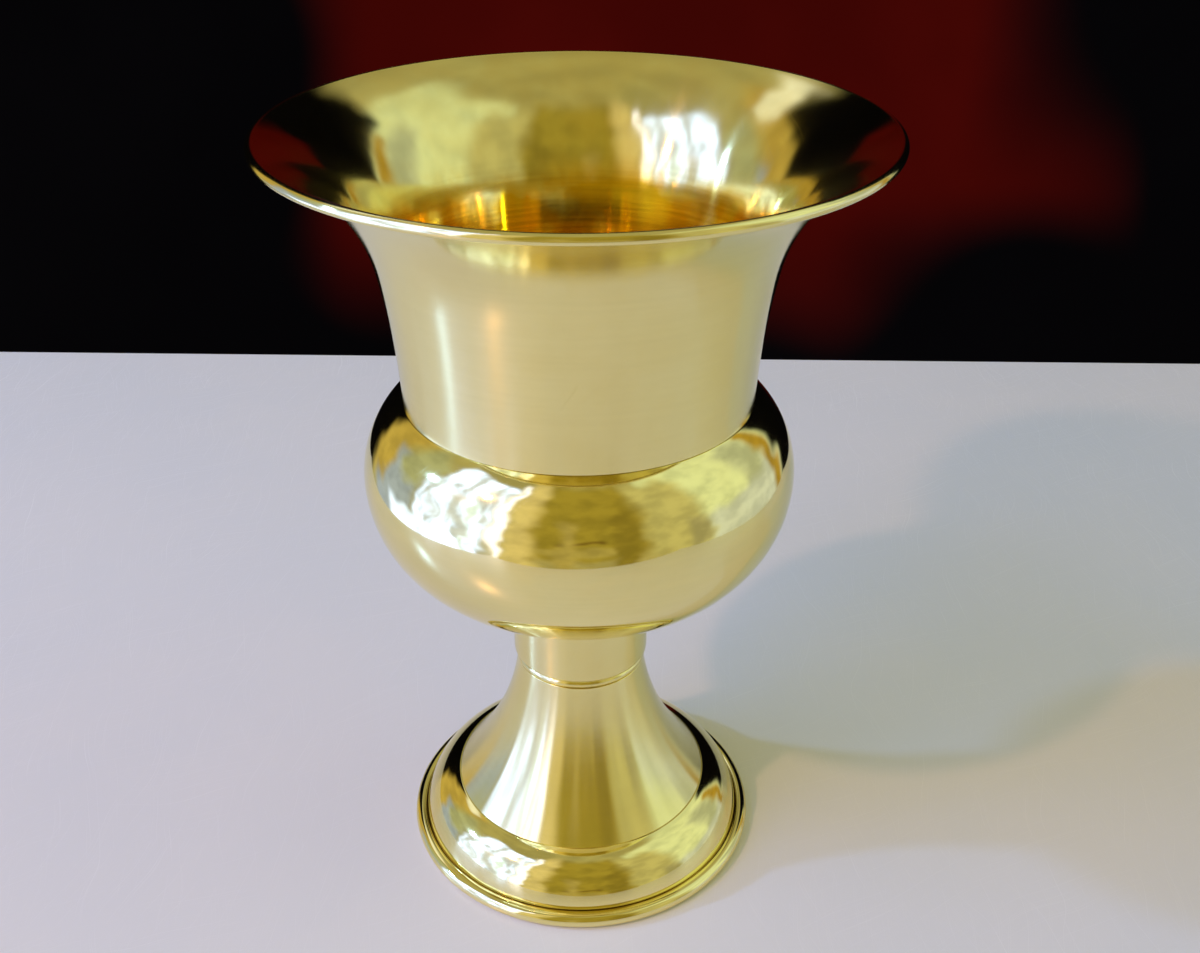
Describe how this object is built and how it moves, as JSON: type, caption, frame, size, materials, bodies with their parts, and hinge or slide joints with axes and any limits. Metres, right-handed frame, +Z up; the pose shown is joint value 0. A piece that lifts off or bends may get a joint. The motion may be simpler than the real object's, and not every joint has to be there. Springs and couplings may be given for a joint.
{
  "type": "ciborium vessel",
  "caption": "Footed ceremonial cup in spun brass: a flared cup with a rolled rim over a round bowl, on a turned collar and a trumpet foot, held by a central stud.",
  "frame": {"origin": "on the table, under the centre of the foot", "axes": "+Z up along the axis of revolution, from the foot to the open rim; the spring washer's split faces +Y"},
  "size_m": [0.14, 0.14, 0.1948],
  "materials": {
    "polished_brass": "mirror polished, with fine spinning marks inside the cup",
    "plain_brass": "as turned or drawn",
    "plated_steel": "zinc plated"
  },
  "bodies": {
    "root": {"upper_cup": "polished_brass", "rim_wire": "plain_brass", "lower_bowl": "polished_brass", "stud_plate": "plain_brass", "threaded_stud": "plain_brass", "neck_collar": "polished_brass", "foot_cone": "polished_brass", "foot_base": "polished_brass", "foot_wire": "plain_brass", "clamp_washer": "plated_steel", "spring_washer": "plated_steel", "hex_nut": "plated_steel"}
  },
  "joints": []
}
